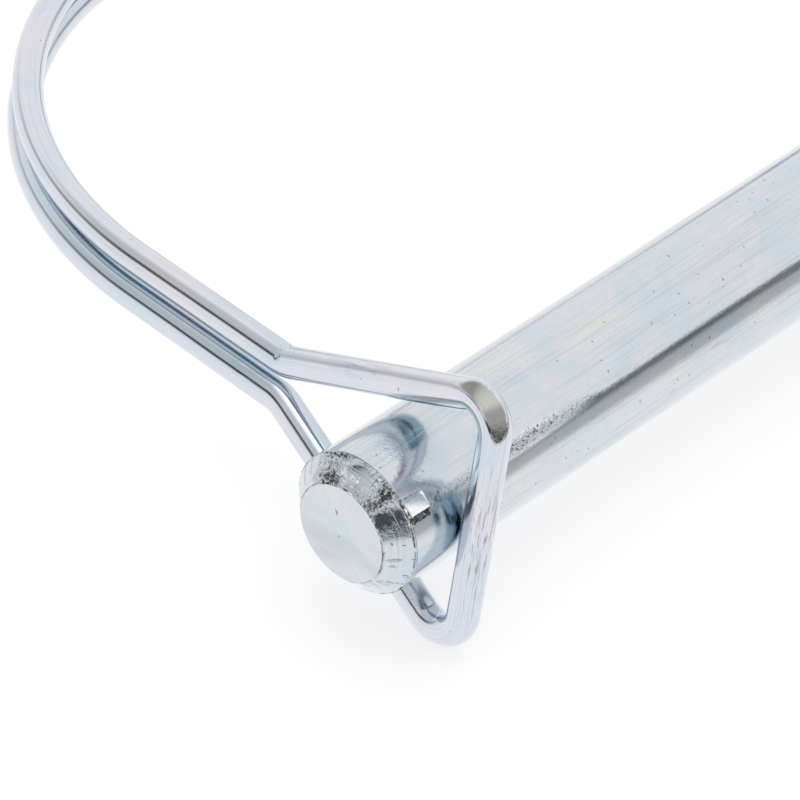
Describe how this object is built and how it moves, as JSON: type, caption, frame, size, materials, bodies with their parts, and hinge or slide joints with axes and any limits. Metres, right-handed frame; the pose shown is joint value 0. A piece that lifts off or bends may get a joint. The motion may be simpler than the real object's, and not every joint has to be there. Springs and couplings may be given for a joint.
{
  "type": "hitch pin lock",
  "caption": "Round steel hitch pin with a bevelled, eared nose and a double-strand wire bail whose catch loop snaps over the nose.",
  "frame": {"origin": "on the pin axis, below the middle of the wire arch, halfway between the catch loop and the cross hole", "axes": "+X along the pin towards its head, so the nose points to -X; +Y towards the arch of the bail; +Z along the cross hole, square to the bail plane"},
  "size_m": [0.08, 0.0622, 0.0204],
  "materials": {
    "pin_steel": "zinc plated, drawn bar with a turned nose, pale blue passivation",
    "wire_steel": "zinc plated spring wire, smooth, pale blue passivation"
  },
  "bodies": {
    "pin": {"shaft": "pin_steel"},
    "bail": {"upper_strand": "wire_steel", "lower_strand": "wire_steel", "catch_loop": "wire_steel"}
  },
  "joints": [
    {"name": "bail_swing", "type": "hinge", "parent": "pin", "child": "bail", "pos_m": [0.0335, 0, 0], "axis": [0, 0, -1], "range_deg": [0, 235], "deforming": ["catch_loop"]}
  ]
}
